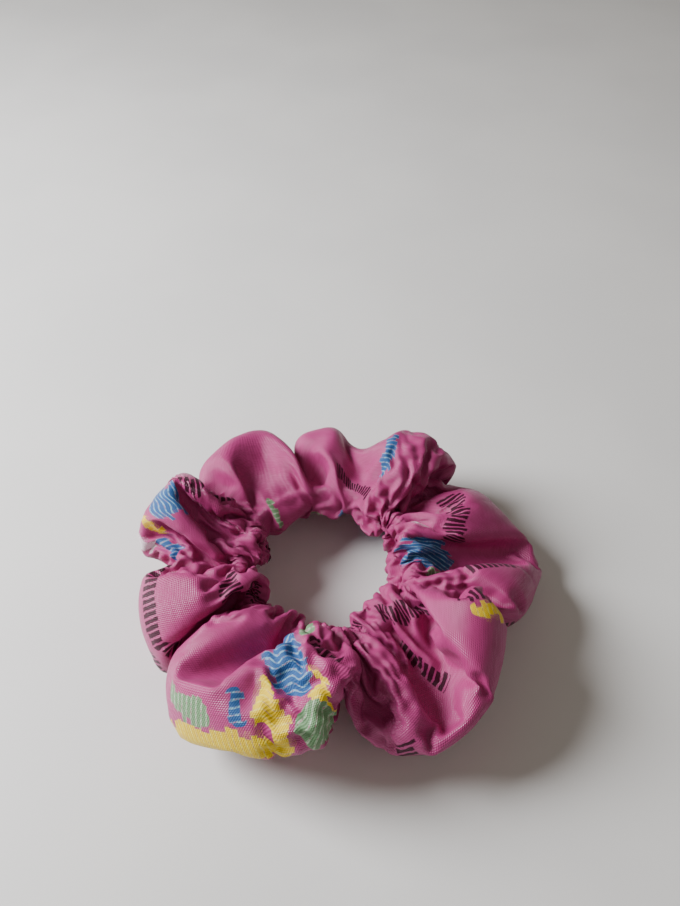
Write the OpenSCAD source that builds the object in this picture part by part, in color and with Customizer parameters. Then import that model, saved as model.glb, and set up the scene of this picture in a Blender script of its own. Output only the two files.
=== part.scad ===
// Fabric hair scrunchie: a gathered cloth tube sewn shut round a flat elastic loop.
// Millimetres. The ring lies flat on z = 0, its middle is the origin, z is up.
// The cover is one cloth tube. It is stored as two half rings so that the loop can stretch.

/* [Ring] */
// Radius of the hole that the hair goes through
hole_r = 17; // [15:0.5:19]
// Outer radius of the low core that joins the puffs
core_r = 45; // [43:0.5:47]
// Height of the low core
core_h = 20; // [18:0.5:22]
// Rounding of the core's outer edges
core_round = 9; // [6:0.5:10]
// Rounding of the core's edges at the hole
hole_round = 6; // [4:0.5:7]
// Thickness of the gathered cloth layer
cloth_t = 0.8; // [0.6:0.1:1.0]

/* [Puffs] */
// Distance from the ring's middle to the middle of an ordinary puff
puff_ring_r = 36.5; // [35:0.5:37.5]
// Radius of an ordinary puff
puff_r = 17.5; // [16.5:0.5:18.5]
// Height of the middle of a puff
puff_z = 14.5; // [13.5:0.5:15.5]
// How much a large puff is bigger than an ordinary one
large_extra = 1; // [0:0.5:1.5]
// How much a small puff is smaller than an ordinary one
small_less = 2; // [1:0.5:3]

/* [Folds] */
// Radius of the rounded fold that stands between two puffs
fold_r = 3.5; // [2.5:0.5:4]
// Radius of the path that a fold takes round the tube
fold_path_r = 11.5; // [10:0.5:12.5]
// Distance from the ring's middle to the middle of that path
fold_ring_r = 34; // [33:0.5:36]

/* [Elastic] */
// Radius of the relaxed elastic loop, to the middle of the braid
loop_r = 21.5; // [21:0.5:25]
// Width of the flat braid, which stands upright
braid_w = 6; // [5:0.5:8]
// Thickness of the braid
braid_t = 0.8; // [0.6:0.1:1.2]
// Angle over which the two ends of the braid lie on each other
lap_angle = 23; // [16:1:30]

/* [Threads] */
// Radius of the sewing thread
thread_r = 0.3; // [0.2:0.05:0.4]
// Angle round the ring of the seam that closes the tube into a ring
closing_angle = 158; // [150:1:165]
// Radius of the long seam that runs inside the tube
long_seam_r = 33; // [30:0.5:36]
// Number of zigzags in the row of stitches that joins the elastic
zigzag_count = 3; // [2:1:4]

/* [Split] */
// Gap between the two stored halves of the cover
split_gap = 0.3; // [0.3:0.1:0.6]

/* [Hidden] */
$fn = 96;
// Anything larger than the whole part, used to cut halves away
reach = 80;
// Clearance kept between a loose inner piece and the cloth
free = 0.35;
// Middle height of the elastic loop, above the middle of the core because the cloth hangs from it
loop_z = core_h / 2 + 3;
// Middle height of the path of a fold
fold_z = 12;
// How far the stitches stand out of the braid
stitch_proud = 0.3;
// Length of the braid that the stitches cover
stitch_run = 8;
// Height of a turn of the zigzag above the middle of the braid
stitch_rise = 1.2;
// Ends of the closing seam, as angles in the section of its puff
seam_from = -50;
seam_to = 128;
// Each puff: angle round the ring, distance from the middle, radius
puffs = [
    [12, puff_ring_r, puff_r],
    [54, puff_ring_r, puff_r],
    [90, puff_ring_r + large_extra, puff_r - small_less],
    [122, puff_ring_r + large_extra, puff_r - small_less],
    [closing_angle, puff_ring_r, puff_r],
    [195, puff_ring_r, puff_r],
    [243, puff_ring_r - large_extra, puff_r + large_extra],
    [284, puff_ring_r, puff_r],
    [325, puff_ring_r - large_extra, puff_r + large_extra],
];
// The puff that the closing seam crosses
seam_puff = puffs[4];
// Angles of the folds, one in each valley between two puffs
fold_angles = [33, 72, 106, 140, 177, 219, 264, 305, 348];

// Section of the core, drawn back from the outside by the amount "inset"
module core_section(inset) {
    inner = hole_r + inset;
    outer = core_r - inset;
    top = core_h - inset;
    big = core_round - inset;
    small = hole_round - inset;
    translate([inner + small, inset])
        square([outer - inner - small - big, top - inset]);
    translate([inner, inset + small])
        square([outer - inner - big, top - inset - 2 * small]);
    translate([outer - 2 * big, inset + big])
        square([2 * big, top - inset - 2 * big]);
    for (z = [inset + small, top - small])
        translate([inner + small, z])
            circle(r = small);
    for (z = [inset + big, top - big])
        translate([outer - big, z])
            circle(r = big);
}

// One puff as a ball, drawn back by "inset"
module puff(p, inset) {
    rotate([0, 0, p[0]])
        translate([p[1], 0, puff_z])
            sphere(r = p[2] - inset);
}

// One fold, a rounded cord of cloth that goes round the tube, drawn back by "inset"
module fold(angle, inset) {
    rotate([0, 0, angle])
        translate([fold_ring_r, 0, fold_z])
            rotate([90, 0, 0])
                rotate_extrude()
                    translate([fold_path_r, 0])
                        circle(r = fold_r - inset);
}

// The filled shape of the ring, drawn back from the outside by "inset" and flat underneath
module ring_shape(inset) {
    difference() {
        union() {
            rotate_extrude()
                core_section(inset);
            for (p = puffs)
                puff(p, inset);
            for (a = fold_angles)
                fold(a, inset);
        }
        translate([-reach, -reach, inset - reach])
            cube([2 * reach, 2 * reach, reach]);
        translate([0, 0, -reach])
            cylinder(r = hole_r + inset, h = 2 * reach);
    }
}

// Half of the cloth tube: side = 1 keeps +x, side = -1 keeps -x
module cover_half(side) {
    difference() {
        ring_shape(0);
        ring_shape(cloth_t);
        translate([side > 0 ? split_gap / 2 - 2 * reach : -split_gap / 2, -reach, -reach])
            cube([2 * reach, 2 * reach, 2 * reach]);
    }
}

// Sewing thread in an arc over the puff that holds the closing seam
module seam_arc() {
    rotate([0, 0, seam_puff[0]])
        translate([seam_puff[1], 0, puff_z])
            rotate([90, 0, 0])
                rotate([0, 0, seam_from])
                    rotate_extrude(angle = seam_to - seam_from)
                        translate([seam_puff[2], 0])
                            circle(r = thread_r);
}

module cover_left() {
    color("Plum")
        difference() {
            cover_half(-1);
            seam_arc();
        }
}

module cover_right() {
    color("Plum")
        cover_half(1);
}

// The braid: one turn, and a second layer where its ends lie on each other
module elastic() {
    color("White")
        translate([0, 0, loop_z - braid_w / 2]) {
            rotate_extrude()
                translate([loop_r - braid_t / 2, 0])
                    square([braid_t, braid_w]);
            rotate([0, 0, 180 - lap_angle / 2])
                rotate_extrude(angle = lap_angle)
                    translate([loop_r, 0])
                        square([1.5 * braid_t, braid_w]);
        }
}

// Zigzag of thread, sewn through both layers of the lapped braid
module elastic_stitches() {
    depth = 2 * braid_t + stitch_proud;
    step = stitch_run / (2 * zigzag_count);
    // Upright half width of a stroke that is two thread radii wide across its slope
    half_w = thread_r * sqrt(step * step + 4 * stitch_rise * stitch_rise) / step;
    turns = [for (i = [0 : 2 * zigzag_count]) [i * step, i % 2 == 0 ? -stitch_rise : stitch_rise]];
    upper = [for (p = turns) p + [0, half_w]];
    lower = [for (i = [2 * zigzag_count : -1 : 0]) turns[i] - [0, half_w]];
    color("Ivory")
        translate([-(loop_r + 1.5 * braid_t + stitch_proud), -stitch_run / 2, loop_z])
            rotate([90, 0, 90])
                linear_extrude(height = depth)
                    polygon(concat(upper, lower));
}

// The long seam of the tube, lying loose inside it
module tube_seam_thread() {
    color("MediumOrchid")
        translate([0, 0, cloth_t + free + thread_r])
            rotate_extrude()
                translate([long_seam_r, 0])
                    circle(r = thread_r);
}

module closing_seam_thread() {
    color("MediumOrchid")
        seam_arc();
}

cover_left();
cover_right();
elastic();
elastic_stitches();
tube_seam_thread();
closing_seam_thread();
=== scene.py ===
import math

import bmesh
import bpy
import numpy as np
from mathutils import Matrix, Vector


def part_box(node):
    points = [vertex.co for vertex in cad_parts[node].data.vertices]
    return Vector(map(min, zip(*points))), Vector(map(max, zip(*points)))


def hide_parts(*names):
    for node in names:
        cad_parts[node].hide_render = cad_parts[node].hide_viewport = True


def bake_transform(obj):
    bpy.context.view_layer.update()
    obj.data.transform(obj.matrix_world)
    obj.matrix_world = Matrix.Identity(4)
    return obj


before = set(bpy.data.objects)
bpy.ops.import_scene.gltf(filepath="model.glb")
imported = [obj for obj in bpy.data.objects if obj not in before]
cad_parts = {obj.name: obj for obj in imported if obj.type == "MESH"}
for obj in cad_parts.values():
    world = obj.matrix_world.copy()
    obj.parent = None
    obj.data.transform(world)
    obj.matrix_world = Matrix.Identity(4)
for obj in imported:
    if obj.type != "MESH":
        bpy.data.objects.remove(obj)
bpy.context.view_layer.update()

# ---- sizes, in metres --------------------------------------------------------------------------
TUBE_LENGTH = 0.420  # the cloth tube along its run
TUBE_ROUND = 0.087  # and round its section
SEAM_ALLOWANCE = 0.0065  # cloth turned in at each long edge of the cut
THICKNESS = 0.00025  # of the cloth
HEM_RISE = 0.00035  # the closing hem stands this far above the end it covers
HEM_WIDTH = 0.005
ALLOWANCE_GAP = 0.0001  # between the cloth and the allowance pressed against it
LINE_R = 0.0180  # the innermost line of the gathered tube
LINE_Z = 0.0130  # and its height
BRAID_T = 0.0008  # thickness of the elastic's flat braid
band_low, band_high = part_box("elastic")
LOOP_R = band_high[0] - BRAID_T / 2  # the elastic's radius, to the middle of the braid
LOOP_Z = (band_low[2] + band_high[2]) / 2
BRAID_W = band_high[2] - band_low[2]
SEAM_ANGLE = 158.0  # degrees round the ring, where the tube's two ends meet
PINCH_ANGLES = (40, 75, 103, 147, 184, 220, 282, 340)  # where the cloth bunches on the elastic

# ---- gathering the cloth -----------------------------------------------------------------------
ROWS, COLUMNS = 200, 44  # cells along the tube and round it
SIM_SCALE = 10.0  # the cloth is simulated this many times larger
GATHER_FRAMES, SETTLE_FRAMES = 38, 30
SEED = 21
START_Z = 0.019  # height of the innermost line before the tube is gathered
SWELL = 0.15  # how much fuller than its mean the tube starts between two pinches
WANDER = 0.15  # how far the innermost line strays round the tube, as a share of the way round
VALLEY_WIDTH = 0.010  # reach along the tube of the narrowing at a pinch
BUNCH_LENGTH, BUNCH_WIDTH = 0.012, 0.010  # reach of the shrinking cloth there, along and round
PUFFED, SLACK = 0.22, -0.35  # air pressure in the tube while it gathers, and once it lies slack
SLACK_FRAMES = 8  # frames that the pressure takes to drop
RING_AROUND, RING_SECTION = 96, 8  # cells of the closing ring
RING_HALF_T, RING_HALF_H = 0.001, 0.0032  # its section fits round the braid
POST_R, POST_SIDES = 0.014, 48  # a post in the hole keeps the cloth from closing it
POST_BOTTOM, POST_TOP = -0.01, 0.06
SIM_TABLE_HALF = 0.2


def smooth(x, a, b):
    t = np.clip((x - a) / (b - a), 0, 1)
    return t * t * (3 - 2 * t)


def angles(count):
    return 2 * np.pi * np.arange(count) / count


def square(half):
    return np.array([(-half, -half, 0), (half, -half, 0), (half, half, 0), (-half, half, 0)])


def slow_wave(rng, t, harmonics, amplitude):
    """A periodic random wave over t = 0..1."""
    out = np.zeros_like(t)
    for k in harmonics:
        out += rng.normal() * np.cos(2 * np.pi * k * t + rng.uniform(0, 2 * np.pi)) / k**0.5
    return amplitude * out / np.abs(out).max()


def quads(rows, columns):
    """Faces of a grid that is open along its rows and closed round its columns, facing out."""
    i, j = np.meshgrid(np.arange(rows), np.arange(columns), indexing="ij")
    k = (j + 1) % columns
    low, high = i * columns, (i + 1) * columns
    return np.stack([low + j, high + j, high + k, low + k], -1).reshape(-1, 4)


class Tube:
    """The cloth tube before it is gathered: what each point of the grid is."""

    def __init__(self):
        rng = np.random.default_rng(SEED)
        self.u = np.arange(ROWS + 1) / ROWS
        self.theta = math.radians(SEAM_ANGLE) + 2 * np.pi * self.u
        wander = slow_wave(rng, self.u, (1, 2, 3, 5), WANDER)
        wander[-1] = wander[0]
        line = np.round(wander * COLUMNS).astype(int) % COLUMNS
        self.line = line
        # share of the way round the section from the innermost line
        self.phase = ((np.arange(COLUMNS)[None, :] - line[:, None]) % COLUMNS) / COLUMNS
        from_line = np.minimum(self.phase, 1 - self.phase) * TUBE_ROUND
        pinch_u = np.radians(np.array(PINCH_ANGLES) - SEAM_ANGLE) % (2 * np.pi)
        self.pinch_u = np.sort(pinch_u) / (2 * np.pi) * TUBE_LENGTH
        along = np.abs(self.u[:, None] * TUBE_LENGTH - self.pinch_u[None, :]).min(axis=1)
        self.valley = np.exp(-((along / VALLEY_WIDTH) ** 2))
        across = (from_line / BUNCH_WIDTH) ** 2
        self.bunch = np.exp(-((along[:, None] / BUNCH_LENGTH) ** 2) - across)
        self.radius = TUBE_ROUND / 2 / np.pi

    def ring(self, line_r, line_z, swell=SWELL):
        """The tube bent into a ring, with its innermost line at line_r."""
        a = 2 * np.pi * self.phase
        t = self.radius * (1 + swell * (1 - 2 * self.valley))[:, None]
        r, z = line_r + t * (1 - np.cos(a)), line_z + t * np.sin(a)
        x, y = r * np.cos(self.theta)[:, None], r * np.sin(self.theta)[:, None]
        return np.stack([x, y, z], -1).reshape(-1, 3)

    def straight(self):
        """The tube at rest, straight, so that the cloth knows its own lengths."""
        a = 2 * np.pi * np.arange(COLUMNS) / COLUMNS
        x = np.repeat(self.u * TUBE_LENGTH, COLUMNS)
        y = np.tile(self.radius * np.cos(a), ROWS + 1)
        z = np.tile(self.radius * np.sin(a), ROWS + 1)
        return np.stack([x, y, z], -1)

    def pins(self):
        """The innermost points at each pinch, which follow the elastic."""
        held = np.zeros((ROWS + 1, COLUMNS))
        for p in self.pinch_u:
            middle = int(round(p / TUBE_LENGTH * ROWS))
            for i in (middle - 1, middle, middle + 1):
                row = i % (ROWS + 1)
                held[row][self.phase[row] == 0] = 1
        return held


def add_mesh(name, points, faces, edges=()):
    mesh = bpy.data.meshes.new(name)
    faces = [[int(corner) for corner in face] for face in faces]
    mesh.from_pydata(np.asarray(points, float).tolist(), list(edges), faces)
    obj = bpy.data.objects.new(name, mesh)
    bpy.context.scene.collection.objects.link(obj)
    return obj


def key_to(obj, points, frames):
    """Moves obj's points to these, evenly, by the given frame."""
    obj.shape_key_add(name="Basis")
    key = obj.shape_key_add(name="gathered")
    key.data.foreach_set("co", (points * SIM_SCALE).ravel())
    for value, at in ((0, 1), (1, frames)):
        key.value = value
        key.keyframe_insert("value", frame=at)


def add_group(obj, name, weights):
    """A vertex group with these weights, one for each point."""
    group = obj.vertex_groups.new(name=name)
    for k, w in enumerate(np.ravel(weights)):
        if w > 0.001:
            group.add([k], float(w), "REPLACE")


def add_obstacle(name, points, faces, outer, friction):
    """A mesh that the cloth collides with, at the simulation's scale."""
    obj = add_mesh(name, points * SIM_SCALE, faces)
    obj.modifiers.new("Collision", "COLLISION")
    obj.collision.thickness_outer = outer
    obj.collision.cloth_friction = friction
    return obj


def closing_ring(ring_r, z):
    """The elastic as the cloth feels it: a ring with an oval section."""
    a, b = np.meshgrid(angles(RING_AROUND), angles(RING_SECTION), indexing="ij")
    r = ring_r + RING_HALF_T * np.cos(b)
    return np.stack([r * np.cos(a), r * np.sin(a), z + RING_HALF_H * np.sin(b)], -1).reshape(-1, 3)


def closed_quads(rows, columns):
    """Faces of a grid that is closed both ways."""
    corners = quads(rows, columns)
    return corners % (rows * columns)


def post_points():
    """Two rings of points, bottom and top by turns."""
    a = angles(POST_SIDES)
    rise = np.tile([POST_BOTTOM, POST_TOP], POST_SIDES)
    x, y = np.repeat(POST_R * np.cos(a), 2), np.repeat(POST_R * np.sin(a), 2)
    return np.stack([x, y, rise], -1)


def post_faces():
    around = [(2 * k, 2 * ((k + 1) % POST_SIDES)) for k in range(POST_SIDES)]
    return [(a, b, b + 1, a + 1) for a, b in around]


def cloth_settings(cloth, rest_key):
    s, c = cloth.modifiers["Cloth"].settings, cloth.modifiers["Cloth"].collision_settings
    s.quality = 5
    s.mass = 0.3
    s.air_damping = 2.0
    s.tension_stiffness = s.compression_stiffness = 80
    s.shear_stiffness = 15
    s.bending_stiffness = 30
    s.tension_damping = s.compression_damping = s.shear_damping = 8
    s.bending_damping = 0.5
    s.vertex_group_mass = "pin"
    s.vertex_group_shrink = "bunch"
    s.shrink_max = 0.75
    s.rest_shape_key = rest_key
    s.use_sewing_springs = True
    s.use_pressure = True
    for value, at in ((PUFFED, 1), (PUFFED, GATHER_FRAMES), (SLACK, GATHER_FRAMES + SLACK_FRAMES)):
        s.uniform_pressure_force = value
        s.keyframe_insert("uniform_pressure_force", frame=at)
    s.effector_weights.gravity = 0.3
    c.use_collision = True
    c.distance_min = 0.003
    c.collision_quality = 2
    c.use_self_collision = True
    c.self_distance_min = 0.008
    c.self_friction = 6
    c.vertex_group_self_collisions = "loose"


def gather_cloth(tube):
    """Draws the tube in on a closing elastic loop and lets it settle on the table."""
    scene = bpy.context.scene
    last = GATHER_FRAMES + SETTLE_FRAMES
    open_r = TUBE_LENGTH / 2 / np.pi - 2 * tube.radius
    open_z = START_Z + SWELL * tube.radius
    sewn = [(j, ROWS * COLUMNS + j) for j in range(COLUMNS)]
    start = tube.ring(open_r, open_z)
    cloth = add_mesh("gathering", start * SIM_SCALE, quads(ROWS, COLUMNS), sewn)
    key_to(cloth, tube.ring(LINE_R, LINE_Z), GATHER_FRAMES)
    rest = cloth.shape_key_add(name="rest")
    rest.data.foreach_set("co", (tube.straight() * SIM_SCALE).ravel())
    add_group(cloth, "pin", tube.pins())
    add_group(cloth, "bunch", tube.bunch)
    add_group(cloth, "loose", tube.bunch > 0.4)
    modifier = cloth.modifiers.new("Cloth", "CLOTH")
    cloth_settings(cloth, rest)
    modifier.point_cache.frame_start, modifier.point_cache.frame_end = 1, last + 1
    offset = LOOP_R - LINE_R
    ring_faces = closed_quads(RING_AROUND, RING_SECTION)
    start_ring = closing_ring(open_r + offset, open_z)
    loop = add_obstacle("loop", start_ring, ring_faces, outer=0.003, friction=3)
    key_to(loop, closing_ring(LOOP_R, LOOP_Z), GATHER_FRAMES)
    post = add_obstacle("post", post_points(), post_faces(), outer=0.003, friction=3)
    table = add_obstacle("table", square(SIM_TABLE_HALF), [(0, 1, 2, 3)], outer=0.004, friction=8)
    for f in range(1, last + 1):
        scene.frame_set(f)
    shown = cloth.evaluated_get(bpy.context.evaluated_depsgraph_get()).to_mesh()
    points = np.empty(len(shown.vertices) * 3)
    shown.vertices.foreach_get("co", points)
    scene.frame_set(1)
    for obj in (cloth, loop, post, table):
        bpy.data.objects.remove(obj)
    return points.reshape(ROWS + 1, COLUMNS, 3) / SIM_SCALE


# ---- the cloth's mesh --------------------------------------------------------------------------
REFINE = 3  # finer cells for each simulated one, both ways
ROW = TUBE_LENGTH / (ROWS * REFINE)  # one fine row of cloth
COLUMN = TUBE_ROUND / (COLUMNS * REFINE)
HEM_ROWS = int(round(HEM_WIDTH / ROW))
SEAM_PHASE = 0.72  # where the lengthwise seam runs, as a share of the way round
SEAM_GROOVE, GROOVE_WIDTH = 0.0005, 0.0009  # depth and half width of the dip along that seam
CALM_PLACE = (104, 48)  # degrees round the ring where small wrinkles are eased, and how far each way
CALM_TIMES = 2  # passes of easing
CLEAR_T, CLEAR_H = 0.0019, 0.0040  # half sizes of the oval round the elastic that cloth is kept out of
CLEAR_REACH = 1.3  # cloth this many ovals away isn't moved


def refine(grid, axis):
    """Smooth periodic interpolation of the grid along one axis."""
    before, here, after, beyond = (np.roll(grid, k, axis) for k in (1, 0, -1, -2))
    steps = []
    for t in np.arange(REFINE) / REFINE:
        steps.append(
            here
            + 0.5 * t * (after - before)
            + t * t * (before - 2.5 * here + 2 * after - 0.5 * beyond)
            + t**3 * (1.5 * (here - after) + 0.5 * (beyond - before))
        )
    shape = list(grid.shape)
    shape[axis] *= REFINE
    return np.stack(steps, axis + 1).reshape(shape)


def unit(v):
    return v / np.maximum(np.linalg.norm(v, axis=-1, keepdims=True), 1e-12)


def grid_normals(grid):
    """Outward normals of a grid that closes on itself both ways."""
    along = np.roll(grid, -1, 0) - np.roll(grid, 1, 0)
    across = np.roll(grid, -1, 1) - np.roll(grid, 1, 1)
    normals = unit(np.cross(along, across))
    outward = grid - grid.mean(axis=1, keepdims=True)
    return normals * np.sign((normals * outward).sum())


def ease(grid, amount, times):
    """Eases small wrinkles out of a closed grid, by an amount from 0 to 1 at each point."""
    for _ in range(times):
        for axis in (0, 1):
            beside = (np.roll(grid, 1, axis) + np.roll(grid, -1, axis)) / 2
            grid = grid + (beside - grid) * amount / 2
    return grid


def clear_of_elastic(points):
    """Eases cloth that lies against the elastic outwards, so that neither cuts the other."""
    r = np.hypot(points[..., 0], points[..., 1])
    side, rise = r - LOOP_R, points[..., 2] - LOOP_Z
    away = np.maximum(np.hypot(side / CLEAR_T, rise / CLEAR_H), 0.05)
    grow = np.where(away < CLEAR_REACH, 1 / away + (CLEAR_REACH - 1) / CLEAR_REACH, 1)
    out = points.copy()
    out[..., :2] *= ((LOOP_R + side * grow) / r)[..., None]
    out[..., 2] = LOOP_Z + rise * grow
    return out


class Cloth:
    """The gathered cloth as a fine grid, closed both ways, with its outward normals."""

    def __init__(self, tube, gathered):
        joined = gathered[:-1].copy()
        joined[0] = (gathered[0] + gathered[-1]) / 2
        middle, spread = (math.radians(a) for a in CALM_PLACE)
        from_calm = np.abs((tube.theta[:-1] - middle + np.pi) % (2 * np.pi) - np.pi)
        calm = 1 - smooth(from_calm, spread * 0.7, spread)
        fine = refine(refine(ease(joined, calm[:, None, None], CALM_TIMES), 0), 1)
        self.points = clear_of_elastic(fine)
        self.normals = grid_normals(self.points)
        self.seam_column = int(round((SEAM_PHASE + np.median(tube.line) / COLUMNS) * COLUMNS)) * REFINE
        self.seam_column %= COLUMNS * REFINE
        from_seam = (np.arange(COLUMNS * REFINE) - self.seam_column) * COLUMN
        groove = SEAM_GROOVE * np.exp(-((from_seam / GROOVE_WIDTH) ** 2))
        self.points -= self.normals * groove[None, :, None]
        self.normals = grid_normals(self.points)

    def at(self, row, column, lift=0.0):
        """A point on the cloth, lifted off it. Rows and columns may be fractions."""
        row, column = np.broadcast_arrays(np.asarray(row, float), np.asarray(column, float))
        rows, columns = self.points.shape[:2]
        i, j = np.floor(row).astype(int), np.floor(column).astype(int)
        fi, fj = (row - i)[..., None], (column - j)[..., None]
        total = 0
        for a, wa in ((0, 1 - fi), (1, fi)):
            for b, wb in ((0, 1 - fj), (1, fj)):
                cell = ((i + a) % rows, (j + b) % columns)
                raised = self.points[cell] + self.normals[cell] * np.asarray(lift)[..., None]
                total = total + wa * wb * raised
        return total


def cover_grid(cloth):
    """The cover's outer surface, with its folded end lapped over the other one."""
    rows = np.arange(ROWS * REFINE + HEM_ROWS + 1)
    rise = HEM_RISE * smooth(rows, ROWS * REFINE - 4, ROWS * REFINE)
    columns = np.arange(COLUMNS * REFINE)
    return Layer(cloth, rows, columns, rise[:, None], wraps=True)


def allowance_grid(cloth, side):
    """The cloth turned in beside the lengthwise seam, pressed flat inside the tube."""
    rows = np.arange(HEM_ROWS + 2, ROWS * REFINE - 6)
    columns = cloth.seam_column + side * np.arange(1, int(round(SEAM_ALLOWANCE / COLUMN)) + 1)
    return Layer(cloth, rows, np.sort(columns), np.array([[-THICKNESS - ALLOWANCE_GAP]]), wraps=False)


class Layer:
    """A stretch of the cloth as a closed thin shell."""

    def __init__(self, cloth, rows, columns, lift, wraps):
        cells = np.ix_(rows % (ROWS * REFINE), columns % (COLUMNS * REFINE))
        normals = cloth.normals[cells]
        outer = cloth.points[cells] + normals * lift[..., None]
        inner = outer - normals * THICKNESS
        self.points = np.concatenate([outer.reshape(-1, 3), inner.reshape(-1, 3)])
        places = np.stack(np.meshgrid(rows, columns, indexing="ij"), -1)
        self.places = np.tile(places.reshape(-1, 2), (2, 1))
        n, m = len(rows), len(columns)
        grid = np.arange(n * m).reshape(n, m)
        skin = quads(n - 1, m).reshape(n - 1, m, 4)
        edges = [grid[0], grid[-1, ::-1]]
        if wraps:
            edges = [np.append(edge, edge[0]) for edge in edges]
        else:
            skin = skin[:, :-1]
            edges += [grid[::-1, 0], grid[:, -1]]
        skin = skin.reshape(-1, 4)
        rims = [np.stack([e[:-1], e[1:], e[1:] + n * m, e[:-1] + n * m], -1) for e in edges]
        self.faces = np.concatenate([skin, skin[:, ::-1] + n * m] + rims)
        along, across = outer[1, 0] - outer[0, 0], outer[0, 1] - outer[0, 0]
        if np.dot(np.cross(along, across), normals[0, 0]) < 0:
            self.faces = self.faces[:, ::-1]


def cloth_object(cloth):
    """The cover, and where each corner of each of its faces lies on the flat cloth."""
    points, faces, places, count = [], [], [], 0
    for layer in (cover_grid(cloth), allowance_grid(cloth, -1), allowance_grid(cloth, 1)):
        points.append(layer.points)
        faces.append(layer.faces + count)
        places.append(layer.places)
        count += len(layer.points)
    faces = np.concatenate(faces)
    obj = add_mesh("fabric_cover", np.concatenate(points), faces)
    obj.data.shade_smooth()
    row, column = np.moveaxis(np.concatenate(places)[faces], -1, 0)
    wrapped = (column.max(axis=1, keepdims=True) - column > COLUMNS * REFINE / 2) & (column == 0)
    flat = np.stack([row * ROW, (column + COLUMNS * REFINE * wrapped) * COLUMN], -1)
    obj.data.uv_layers.new(name="cloth").data.foreach_set("uv", flat.ravel())
    return obj, flat


# ---- the print ---------------------------------------------------------------------------------
# Each motif is (kind, degrees round the ring, share of the way round the cloth from the innermost
# line, length, width, turn in degrees from the tube's run). Lengths are in millimetres.
DASHES, BLUE, GREEN, YELLOW, WHITE = -1, 0, 1, 2, 3
MOTIFS = (
    (DASHES, 156, 0.33, 22, 4.4, 25),
    (DASHES, 200, 0.41, 28, 4.2, 5),
    (DASHES, 204, 0.20, 20, 5.0, 8),
    (DASHES, 214, 0.13, 18, 4.5, 8),
    (DASHES, 74, 0.17, 24, 4.4, 0),
    (DASHES, 22, 0.25, 26, 4.2, 35),
    (DASHES, 356, 0.36, 18, 4.2, 35),
    (DASHES, 334, 0.40, 8, 4.2, 85),
    (DASHES, 318, 0.14, 24, 4.4, 25),
    (DASHES, 310, 0.24, 13, 4.5, 70),
    (DASHES, 272, 0.30, 9, 4.0, 40),
    (DASHES, 288, 0.06, 22, 4.0, 0),
    (BLUE, 168, 0.38, 11, 8, 60),
    (BLUE, 181, 0.45, 8, 6, 0),
    (BLUE, 263, 0.31, 15, 11, 70),
    (BLUE, 252, 0.25, 10, 4, 80),
    (BLUE, 254, 0.42, 7, 3.5, 80),
    (BLUE, 5, 0.15, 20, 13, 20),
    (BLUE, 62, 0.26, 16, 4, 85),
    (GREEN, 244, 0.44, 12, 6, 10),
    (GREEN, 271, 0.51, 17, 10, 30),
    (GREEN, 356, 0.22, 16, 6, 40),
    (GREEN, 131, 0.07, 9, 5, 85),
    (GREEN, 266, 0.18, 13, 5, 85),
    (YELLOW, 249, 0.52, 26, 9, -5),
    (YELLOW, 260, 0.44, 15, 7, 85),
    (YELLOW, 269, 0.42, 14, 5, 80),
    (YELLOW, 331, 0.46, 13, 3.5, 80),
    (YELLOW, 174, 0.42, 7, 3.5, 0),
    (WHITE, 176, 0.50, 7, 4, 30),
    (WHITE, 262, 0.57, 10, 4, 0),
    (WHITE, 20, 0.13, 5, 3, 0),
)
SCATTERED = 40  # more motifs where the first ones leave the cloth bare
SCATTER_GAP = 0.0155
HIDDEN = (0.53, 0.93)  # shares of the way round between which they are placed, out of sight from above


def motif_places(tube):
    """Every motif as (kind, u, v, half length, half width, turn, number), in metres and radians."""
    placed = []
    for number, (kind, angle, share, length, width, turn) in enumerate(MOTIFS):
        row = ((angle - SEAM_ANGLE) % 360) / 360 * ROWS
        v = (share + tube.line[int(row)] / COLUMNS) % 1 * TUBE_ROUND
        half = (length / 2000, width / 2000)
        placed.append((kind, row / ROWS * TUBE_LENGTH, v, *half, math.radians(turn), number))
    rng = np.random.default_rng(SEED)
    kinds = (DASHES, BLUE, DASHES, GREEN, DASHES, YELLOW, DASHES, BLUE, YELLOW, GREEN, WHITE)
    for _ in range(4000):
        if len(placed) == len(MOTIFS) + SCATTERED:
            break
        u, v = rng.uniform(0, TUBE_LENGTH), rng.uniform(0, TUBE_ROUND)
        share = (v / TUBE_ROUND - tube.line[int(u / TUBE_LENGTH * ROWS)] / COLUMNS) % 1
        gaps = [math.hypot(u - m[1], around(v - m[2])) for m in placed]
        if not HIDDEN[0] < share < HIDDEN[1] or min(gaps) < SCATTER_GAP:
            continue
        kind = kinds[len(placed) % len(kinds)]
        half = (rng.uniform(8, 12), 2.6) if kind == DASHES else (rng.uniform(5, 9), rng.uniform(3, 6))
        placed.append((kind, u, v, half[0] / 1000, half[1] / 1000, rng.uniform(-1.5, 1.5), len(placed)))
    return placed


def around(v):
    """A distance round the tube, taken the short way."""
    return (v + TUBE_ROUND / 2) % TUBE_ROUND - TUBE_ROUND / 2


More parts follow.
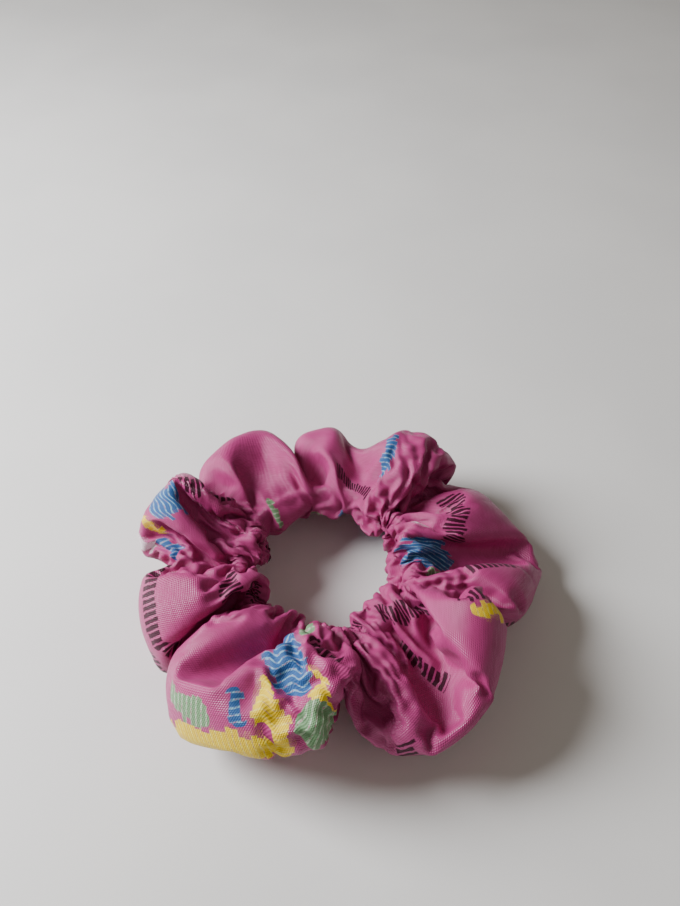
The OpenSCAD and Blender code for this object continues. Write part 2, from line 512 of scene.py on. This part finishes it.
def paint_motifs(obj, flat, motifs, name):
    """Gives each face corner its place, in millimetres, on the motif nearest to that face."""
    motifs = np.array(motifs)
    middle = flat.mean(axis=1)
    nearest = np.zeros(len(flat), int)
    best = np.full(len(flat), np.inf)
    for k, (_, u, v, half_length, half_width, turn, _) in enumerate(motifs):
        du, dv = middle[:, 0] - u, around(middle[:, 1] - v)
        s = du * math.cos(turn) + dv * math.sin(turn)
        t = dv * math.cos(turn) - du * math.sin(turn)
        reach = np.hypot(np.maximum(np.abs(s) - half_length, 0), np.maximum(np.abs(t) - half_width, 0))
        closer = reach < best
        best[closer], nearest[closer] = reach[closer], k
    kind, u, v, half_length, half_width, turn, number = motifs[nearest].T
    du = flat[..., 0] - u[:, None]
    dv = (around(middle[:, 1] - v) - middle[:, 1])[:, None] + flat[..., 1]
    cos, sin = np.cos(turn)[:, None], np.sin(turn)[:, None]
    place = np.stack([du * cos + dv * sin, dv * cos - du * sin, np.zeros_like(du)], -1) * 1000
    place[..., 2] = number[:, None]
    size = np.stack([half_length * 1000, half_width * 1000, kind], -1)
    corners = obj.data.attributes.new(name, "FLOAT_VECTOR", "CORNER")
    corners.data.foreach_set("vector", place.astype(np.float32).ravel())
    sizes = obj.data.attributes.new(name + "_size", "FLOAT_VECTOR", "FACE")
    sizes.data.foreach_set("vector", size.astype(np.float32).ravel())


# ---- materials ---------------------------------------------------------------------------------
class Shader:
    """A material's nodes, built by short calls."""

    def __init__(self, name, **settings):
        self.material = bpy.data.materials.new(name)
        self.material.use_nodes = True
        self.nodes, self.links = self.material.node_tree.nodes, self.material.node_tree.links
        self.surface = self.nodes["Principled BSDF"]
        for key, value in settings.items():
            self.surface.inputs[key.replace("_", " ").title()].default_value = value

    def put(self, socket, value):
        if isinstance(value, bpy.types.NodeSocket):
            self.links.new(value, socket)
        else:
            socket.default_value = value

    def node(self, kind, values=(), **settings):
        made = self.nodes.new("ShaderNode" + kind)
        for key, value in settings.items():
            setattr(made, key, value)
        for key, value in dict(values).items():
            self.put(made.inputs[key], value)
        return made

    def math(self, operation, *values):
        return self.node("Math", enumerate(values), operation=operation).outputs[0]

    def mix(self, share, a, b):
        return self.node("Mix", {0: share, 6: a, 7: b}, data_type="RGBA").outputs[2]

    def ramp(self, value, low, high, start=0.0, end=1.0):
        """start at or below low, end at or above high, and smooth between them."""
        values = {0: value, 1: low, 2: high, 3: start, 4: end}
        return self.node("MapRange", values, interpolation_type="SMOOTHSTEP").outputs[0]

    def random(self, value):
        return self.node("TexWhiteNoise", {"W": value}, noise_dimensions="1D").outputs["Value"]

    def noise(self, vector, scale, detail=2.0):
        values = {"Vector": vector, "Scale": scale, "Detail": detail}
        return self.node("TexNoise", values).outputs["Fac"]

    def parts(self, vector):
        return self.node("SeparateXYZ", {0: vector}).outputs[:3]

    def attribute(self, name):
        return self.parts(self.node("Attribute", attribute_name=name).outputs["Vector"])

    def bump(self, height, distance, strength=1.0, normal=None):
        values = {"Height": height, "Distance": distance, "Strength": strength}
        made = self.node("Bump", values)
        if normal is not None:
            self.put(made.inputs["Normal"], normal)
        return made.outputs["Normal"]

    def all_of(self, *masks):
        out = masks[0]
        for mask in masks[1:]:
            out = self.math("MULTIPLY", out, mask)
        return out


PINK = (0.44, 0.047, 0.200, 1)
PINK_DEEP = (0.33, 0.028, 0.135, 1)
DASH_INK = (0.032, 0.004, 0.013, 1)
INKS = {
    BLUE: ((0.012, 0.110, 0.30, 1), (0.22, 0.46, 0.64, 1)),
    GREEN: ((0.150, 0.310, 0.150, 1), (0.42, 0.60, 0.40, 1)),
    YELLOW: ((0.85, 0.60, 0.008, 1), (0.92, 0.78, 0.10, 1)),
    WHITE: ((0.76, 0.64, 0.70, 1), (0.88, 0.82, 0.84, 1)),
}
DASH_PITCH = 1.5  # millimetres from bar to bar
BRUSH_PITCH = 1.3  # and from stroke to stroke in a brushed patch
EDGE_BLUR = 0.15  # millimetres over which the ink fades at a patch's edge
DASH_SPREAD, BRUSH_SPREAD = 31.0, 47.0  # keep one motif's random numbers apart from the next one's


def wobble(sh, place, amount, scale):
    """Shakes a place by a little noise, as ink spreads along threads."""
    uv = sh.node("UVMap", uv_map="cloth").outputs[0]
    shake = sh.math("MULTIPLY", sh.math("SUBTRACT", sh.noise(uv, scale), 0.5), amount)
    return sh.math("ADD", place, shake)


def dash_mask(sh):
    """Where the rows of short bars are inked."""
    s, t, number = sh.attribute("dash")
    half_length, half_width, _ = sh.attribute("dash_size")
    s = wobble(sh, s, 0.7, 700)
    step = sh.math("DIVIDE", s, DASH_PITCH)
    which = sh.math("ADD", sh.math("FLOOR", step), sh.math("MULTIPLY", number, DASH_SPREAD))
    lean = sh.math("MULTIPLY", sh.math("SUBTRACT", sh.random(which), 0.5), 0.8)
    bar = sh.ramp(sh.random(sh.math("ADD", which, 0.5)), 0, 1, 0.85, 1.08)
    reach = sh.math("MULTIPLY", half_width, bar)
    across = sh.math("SUBTRACT", reach, sh.math("ABSOLUTE", sh.math("ADD", t, lean)))
    along = sh.math("ABSOLUTE", sh.math("SUBTRACT", sh.math("FRACT", step), 0.5))
    ends = sh.math("SUBTRACT", half_length, sh.math("ABSOLUTE", s))
    edges = sh.ramp(across, -0.15, 0.15)
    gaps = sh.ramp(along, 0.29, 0.37, 1, 0)
    return sh.all_of(edges, gaps, sh.ramp(ends, -0.1, 0.1))


def brush_masks(sh):
    """Where a patch is inked, where its lighter threads run, and its kind."""
    s, t, number = sh.attribute("patch")
    half_length, half_width, kind = sh.attribute("patch_size")
    s = wobble(sh, s, 0.5, 500)
    step = sh.math("DIVIDE", s, BRUSH_PITCH)
    which = sh.math("ADD", sh.math("FLOOR", step), sh.math("MULTIPLY", number, BRUSH_SPREAD))
    oval = sh.math("DIVIDE", s, half_length)
    oval = sh.math("MAXIMUM", sh.math("SUBTRACT", 1.0, sh.math("MULTIPLY", oval, oval)), 0.0)
    reach = sh.math("MULTIPLY", sh.math("POWER", oval, 0.22), half_width)
    reach = sh.math("MULTIPLY", reach, sh.ramp(sh.random(which), 0, 1, 0.72, 1.2))
    reach = sh.math("SUBTRACT", reach, EDGE_BLUR)
    shift = sh.math("MULTIPLY", sh.math("SUBTRACT", sh.random(sh.math("ADD", which, 0.5)), 0.5), 1.6)
    inside = sh.math("SUBTRACT", reach, sh.math("ABSOLUTE", sh.math("ADD", t, shift)))
    thread = sh.math("ABSOLUTE", sh.math("SUBTRACT", sh.math("FRACT", step), 0.5))
    worn = sh.ramp(wobble(sh, 0.5, 1.0, 900), 0.38, 0.52, 0.35, 1.0)
    light = sh.math("MULTIPLY", sh.ramp(thread, 0.30, 0.42), worn)
    missed = sh.ramp(wobble(sh, 0.5, 1.0, 1500), 0.50, 0.58, 0, 0.8)
    skipped = sh.math("MULTIPLY", sh.ramp(thread, 0.40, 0.47), missed)
    inked = sh.math("MULTIPLY", sh.ramp(inside, -0.12, EDGE_BLUR), sh.math("SUBTRACT", 1.0, skipped))
    return inked, light, kind


def printed_colour(sh, ground):
    """The cloth's colour with its print, and where there is ink."""
    inked, light, kind = brush_masks(sh)
    colour = ground
    for number, (ink, pale) in INKS.items():
        colour = sh.mix(sh.math("GREATER_THAN", kind, number - 0.5), colour, sh.mix(light, ink, pale))
    colour = sh.mix(sh.math("MULTIPLY", inked, 0.95), ground, colour)
    dashed = dash_mask(sh)
    return sh.mix(sh.math("MULTIPLY", dashed, 0.96), colour, DASH_INK), sh.math("MAXIMUM", inked, dashed)


TWILL = 0.00052  # the pitch of the fabric's diagonal ribs, in metres
THREADS = 0.00038  # and of the threads that cross them
BRAID_RIB, BRAID_KNIT = 0.0008, 0.0006  # pitches of the braid, across and along it
PLY_ALONG, PLY_ROUND = 0.0007, 0.0008  # pitches of a thread's twist


def weave(sh, uv):
    """The height of the satin twill: diagonal ribs cut by the crossing threads."""
    u, v, _ = sh.parts(uv)
    diagonal = sh.math("MULTIPLY", sh.math("ADD", u, sh.math("MULTIPLY", v, 0.7)), 2 * math.pi / TWILL)
    cross = sh.math("MULTIPLY", v, 2 * math.pi / THREADS)
    ribs = sh.math("SINE", diagonal)
    return sh.math("ADD", ribs, sh.math("MULTIPLY", sh.math("SINE", cross), 0.9))


def slubs(sh, uv):
    """Slow thread to thread changes, drawn out along the threads."""
    streaks = sh.node("Mapping", {"Vector": uv, "Scale": (1.0, 9.0, 1.0)}).outputs[0]
    return sh.noise(streaks, 260, 3.0)


def fabric_material():
    sh = Shader("printed_satin", roughness=0.42, sheen_weight=0.06, sheen_roughness=0.35)
    sh.surface.inputs["Sheen Tint"].default_value = (1.0, 0.72, 0.85, 1)
    uv = sh.node("UVMap", uv_map="cloth").outputs[0]
    streak = slubs(sh, uv)
    tone = sh.ramp(sh.noise(uv, 45), 0.3, 0.7, 0, 0.4)
    ground = sh.mix(sh.math("ADD", tone, sh.ramp(streak, 0.35, 0.7, 0, 0.5)), PINK, PINK_DEEP)
    colour, ink = printed_colour(sh, ground)
    sh.put(sh.surface.inputs["Base Color"], colour)
    sh.put(sh.surface.inputs["Specular IOR Level"], sh.ramp(ink, 0, 1, 0.45, 0.15))
    sh.put(sh.surface.inputs["Roughness"], sh.ramp(streak, 0.3, 0.7, 0.31, 0.44))
    creases = sh.bump(sh.noise(uv, 190, 4.0), 0.0006, 0.35)
    sh.put(sh.surface.inputs["Normal"], sh.bump(weave(sh, uv), 0.00006, 0.5, creases))
    return sh.material


def braid_material():
    """Ribbed white elastic: rubber strands under a knitted yarn, with painted shade darkening the
    grooves between its ribs.
    """
    sh = Shader("elastic_braid", roughness=0.8, sheen_weight=0.2)
    place = sh.node("UVMap", uv_map="thread").outputs[0]
    u, v, _ = sh.parts(place)
    ribs = sh.math("SINE", sh.math("MULTIPLY", v, 2 * math.pi / BRAID_RIB))
    knit = sh.math("SINE", sh.math("MULTIPLY", u, 2 * math.pi / BRAID_KNIT))
    height = sh.math("ADD", ribs, sh.math("MULTIPLY", knit, 0.5))
    yellowed = sh.ramp(sh.noise(place, 90), 0.35, 0.65)
    tint = sh.mix(yellowed, (0.82, 0.81, 0.77, 1), (0.66, 0.64, 0.57, 1))
    # painted shade: the low parts of the ribs and knit are darkened towards grey brown, as if shadowed
    groove = sh.ramp(height, -1.2, 0.2, 0.6, 0.0)
    sh.put(sh.surface.inputs["Base Color"], sh.mix(groove, tint, (0.40, 0.38, 0.34, 1)))
    sh.put(sh.surface.inputs["Roughness"], sh.ramp(yellowed, 0, 1, 0.72, 0.86))
    sh.put(sh.surface.inputs["Normal"], sh.bump(height, 0.0001, 0.6))
    return sh.material


def thread_material(name, colour, shade):
    """Twisted sewing thread, with painted shade in the grooves of its twist."""
    sh = Shader(name, roughness=0.55, sheen_weight=0.15)
    place = sh.node("UVMap", uv_map="thread").outputs[0]
    u, v, _ = sh.parts(place)
    along = sh.math("MULTIPLY", u, 2 * math.pi / PLY_ALONG)
    ply = sh.math("SINE", sh.math("ADD", along, sh.math("MULTIPLY", v, 2 * math.pi / PLY_ROUND)))
    fuzz = sh.noise(place, 2500)
    # painted shade from the twist: darker where the ply dips and lighter on its ridges, plus random fuzz
    twist_shade_and_fuzz = sh.math("ADD", sh.ramp(ply, -1, 1, 0, 0.6), sh.math("MULTIPLY", fuzz, 0.4))
    sh.put(sh.surface.inputs["Base Color"], sh.mix(twist_shade_and_fuzz, shade, colour))
    sh.put(sh.surface.inputs["Roughness"], sh.ramp(fuzz, 0.3, 0.7, 0.48, 0.66))
    sh.put(sh.surface.inputs["Normal"], sh.bump(ply, 0.00006, 0.6))
    return sh.material


def table_material():
    sh = Shader("pale_table", roughness=0.6)
    place = sh.node("TexCoord").outputs["Object"]
    mottle = sh.ramp(sh.noise(place, 14, 5.0), 0.35, 0.65)
    colour = sh.mix(mottle, (0.76, 0.755, 0.745, 1), (0.79, 0.785, 0.77, 1))
    sh.put(sh.surface.inputs["Base Color"], colour)
    sh.put(sh.surface.inputs["Roughness"], sh.ramp(mottle, 0, 1, 0.52, 0.62))
    sh.put(sh.surface.inputs["Normal"], sh.bump(sh.noise(place, 900, 3.0), 0.0001, 0.15))
    return sh.material


# ---- the elastic and the threads ---------------------------------------------------------------
THREAD_R = 0.00018
LAP_MIDDLE = math.pi  # the elastic's ends lap at the ring's left
LAP = math.radians(23)
LAP_GAP = 0.0001  # between the lapped ends
STITCH_LENGTH = 0.0028
STITCH_STEPS = 12  # points along each topstitch
STITCH_SWING = 0.0003  # how far a topstitch rises and dips through the hem
STITCH_INSET = 0.0016  # from the hem's fold
SEAM_DEPTH, SEAM_SWING = 1.6 * THICKNESS, 0.00012  # place of the lengthwise seam's thread
ZIGZAGS = 9
ZIGZAG_RISE = 0.0021
ZIGZAG_SHARE = 0.8  # of the lap that the zigzag covers


def sweep(name, path, section, closed):
    """A section carried along a path. section gives each point's (side, up) offsets."""
    path, section = np.asarray(path), np.asarray(section)
    ahead, behind = np.roll(path, -1, 0), np.roll(path, 1, 0)
    if not closed:
        ahead[-1], behind[0] = path[-1], path[0]
    forward = unit(ahead - behind)
    side = unit(np.cross(forward, [0, 0, 1.0]) + np.array([1e-6, 0, 0]))
    up = unit(np.cross(side, forward))
    points = path[:, None] + side[:, None] * section[None, :, :1] + up[:, None] * section[None, :, 1:]
    n, m = len(path), len(section)
    faces = [tuple(f) for f in quads(n - 1, m)]
    if closed:
        faces += [((n - 1) * m + j, j, (j + 1) % m, (n - 1) * m + (j + 1) % m) for j in range(m)]
    else:
        faces += [tuple(range(m)), tuple(range(n * m - 1, (n - 1) * m - 1, -1))]
    obj = add_mesh(name, points.reshape(-1, 3), faces)
    run = np.concatenate([[0], np.cumsum(np.linalg.norm(np.diff(path, axis=0), axis=1))])
    girth = np.concatenate([[0], np.cumsum(np.linalg.norm(np.diff(section, axis=0), axis=1))])
    face_out(obj)
    corners = np.array([corner.vertex_index for corner in obj.data.loops])
    uv = np.stack([run[corners // m], girth[corners % m]], -1)
    obj.data.uv_layers.new(name="thread").data.foreach_set("uv", uv.ravel())
    obj.data.shade_smooth()
    return obj


def face_out(obj):
    """Turns every face of a closed mesh outwards."""
    bm = bmesh.new()
    bm.from_mesh(obj.data)
    bmesh.ops.recalc_face_normals(bm, faces=bm.faces)
    bm.to_mesh(obj.data)
    bm.free()


def circle(radius, sides=8):
    a = angles(sides)
    return np.stack([radius * np.cos(a), radius * np.sin(a)], -1)


def braid_section():
    """A flat band with rounded edges, thin outward and wide upward."""
    r, steps = BRAID_T / 2, np.radians(np.linspace(0, 180, 7))
    top = np.stack([r * np.cos(steps), BRAID_W / 2 - r + r * np.sin(steps)], -1)
    ribs = np.linspace(BRAID_W / 2 - r, -BRAID_W / 2 + r, 25)[1:-1]
    ridge = r * (0.86 + 0.14 * np.cos(2 * np.pi * ribs / BRAID_RIB))
    left = np.stack([-ridge, ribs], -1)
    bottom = -top
    right = -left
    return np.concatenate([top, left, bottom, right])


def elastic():
    """The braid loop: its two ends lap, one over the other."""
    turn = np.linspace(0, 2 * math.pi + LAP, 260)
    a = LAP_MIDDLE - LAP / 2 + turn
    r = LOOP_R + (BRAID_T + LAP_GAP) * (turn / turn[-1] - 0.5)
    path = np.stack([r * np.cos(a), r * np.sin(a), np.full_like(a, LOOP_Z)], -1)
    return sweep("elastic_loop", path, braid_section(), closed=False)


def elastic_stitches():
    """A zigzag of thread through both laps, back and forth between the two faces."""
    proud = BRAID_T + THREAD_R
    path = []
    for k in range(ZIGZAGS):
        a = LAP_MIDDLE + LAP * ZIGZAG_SHARE * (k / (ZIGZAGS - 1) - 0.5)
        side = 1 if k % 2 else -1
        for r in (LOOP_R + side * proud, LOOP_R - side * proud):
            path.append((r * math.cos(a), r * math.sin(a), LOOP_Z + side * ZIGZAG_RISE))
    path = soften(np.array(path), 6)
    return sweep("elastic_zigzag_stitches", path, circle(THREAD_R), closed=False)


def soften(points, times):
    """A line through the points with its corners rounded."""
    share = np.linspace(0, 1, times, endpoint=False)[:, None]
    runs = [a + (b - a) * share for a, b in zip(points[:-1], points[1:])]
    dense = np.concatenate(runs + [points[-1:]])
    for _ in range(3):
        dense[1:-1] = (dense[:-2] + 2 * dense[1:-1] + dense[2:]) / 4
    return dense


def closing_stitches(cloth):
    """Topstitching round the tube, through the folded end."""
    columns = COLUMNS * REFINE
    stitches = int(round(TUBE_ROUND / STITCH_LENGTH))
    w = np.arange(stitches * STITCH_STEPS) / STITCH_STEPS
    lift = HEM_RISE - THICKNESS / 2 + STITCH_SWING * np.cos(2 * np.pi * w)
    row = ROWS * REFINE + HEM_ROWS - STITCH_INSET / ROW
    path = cloth.at(row, w / stitches * columns, lift)
    return sweep("closing_seam_stitches", path, circle(THREAD_R), closed=True)


def tube_stitches(cloth):
    """The lengthwise seam's thread, just inside the cloth."""
    rows = ROWS * REFINE
    row = np.arange(HEM_ROWS, rows - 4, 0.5)
    lift = -SEAM_DEPTH + SEAM_SWING * np.cos(2 * np.pi * row * ROW / STITCH_LENGTH)
    path = cloth.at(row, cloth.seam_column, lift)
    return sweep("tube_seam_stitches", path, circle(THREAD_R * 0.8, 6), closed=False)


# ---- camera, lights and table ------------------------------------------------------------------
AIM = Vector((0, 0, 0.012))
VIEW_ELEVATION = math.radians(57)
VIEW_DISTANCE = 0.198
AIM_ACROSS, AIM_BELOW = -0.0150, 0.146  # where AIM stands in the view, from its middle, as tangents
LENS, SENSOR = 31.8, 36  # millimetres
TABLE_HALF = 1.5


def add_camera():
    """The photograph's view: from the front, looking down on the ring."""
    pitch = VIEW_ELEVATION - math.atan(AIM_BELOW)
    forward = Vector((0, math.cos(pitch), -math.sin(pitch)))
    up = Vector((0, math.sin(pitch), math.cos(pitch)))
    data = bpy.data.cameras.new("camera")
    data.lens, data.sensor_width = LENS, SENSOR
    data.clip_start = 0.01
    camera = bpy.data.objects.new("camera", data)
    camera.location = AIM - (forward + Vector((AIM_ACROSS, 0, 0)) - up * AIM_BELOW) * VIEW_DISTANCE
    camera.rotation_euler = forward.to_track_quat("-Z", "Y").to_euler()
    bpy.context.scene.collection.objects.link(camera)
    bpy.context.scene.camera = camera


def add_light(name, place, size, power, colour):
    data = bpy.data.lights.new(name, "AREA")
    data.shape, data.size, data.energy, data.color = "DISK", size, power, colour
    light = bpy.data.objects.new(name, data)
    light.location = place
    light.rotation_euler = (AIM - Vector(place)).to_track_quat("-Z", "Y").to_euler()
    bpy.context.scene.collection.objects.link(light)


def add_lights():
    add_light("window", (-0.41, 0.07, 0.31), 0.28, 6.2, (0.985, 0.985, 1.0))
    add_light("room", (0.5, -0.5, 0.7), 0.9, 0.7, (1.0, 0.93, 0.85))
    add_surroundings()


def add_surroundings():
    """A pale studio wall as the camera sees it, and a dimmer glow as it lights the cloth."""
    world = bpy.data.worlds.new("studio")
    world.use_nodes = True
    nodes, links = world.node_tree.nodes, world.node_tree.links
    glow, wall = nodes["Background"], nodes.new("ShaderNodeBackground")
    glow.inputs[0].default_value, glow.inputs[1].default_value = (1.0, 0.90, 0.77, 1), 0.17
    wall.inputs[0].default_value, wall.inputs[1].default_value = (0.80, 0.80, 0.79, 1), 0.85
    choose = nodes.new("ShaderNodeMixShader")
    links.new(nodes.new("ShaderNodeLightPath").outputs["Is Camera Ray"], choose.inputs[0])
    links.new(glow.outputs[0], choose.inputs[1])
    links.new(wall.outputs[0], choose.inputs[2])
    links.new(choose.outputs[0], nodes["World Output"].inputs[0])
    bpy.context.scene.world = world


def add_table():
    obj = add_mesh("table", square(TABLE_HALF), [(0, 1, 2, 3)])
    obj.data.materials.append(table_material())


# ---- the whole -----------------------------------------------------------------------------------
def finish_piece(obj, material, slot, *nodes):
    obj.data.materials.append(material)
    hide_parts(*nodes)
    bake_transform(obj)
    return obj


def build():
    """Makes every piece, and hides the part of the model that each one stands in for."""
    tube = Tube()
    cloth = Cloth(tube, gather_cloth(tube))
    cover, flat = cloth_object(cloth)
    motifs = motif_places(tube)
    paint_motifs(cover, flat, [m for m in motifs if m[0] == DASHES], "dash")
    paint_motifs(cover, flat, [m for m in motifs if m[0] != DASHES], "patch")
    finish_piece(cover, fabric_material(), "cloth", "cover_left", "cover_right")
    pink_thread = thread_material("seam_thread", (0.55, 0.17, 0.32, 1), (0.30, 0.07, 0.15, 1))
    white_thread = thread_material("join_thread", (0.80, 0.79, 0.76, 1), (0.45, 0.44, 0.42, 1))
    band = finish_piece(elastic(), braid_material(), "braid", "elastic")
    finish_piece(elastic_stitches(), white_thread, "join_thread", "elastic_stitches")
    closing = finish_piece(closing_stitches(cloth), pink_thread, "seam_thread", "closing_seam_thread")
    seam = finish_piece(tube_stitches(cloth), pink_thread, "seam_thread", "tube_seam_thread")


add_camera()
add_lights()
add_table()
build()
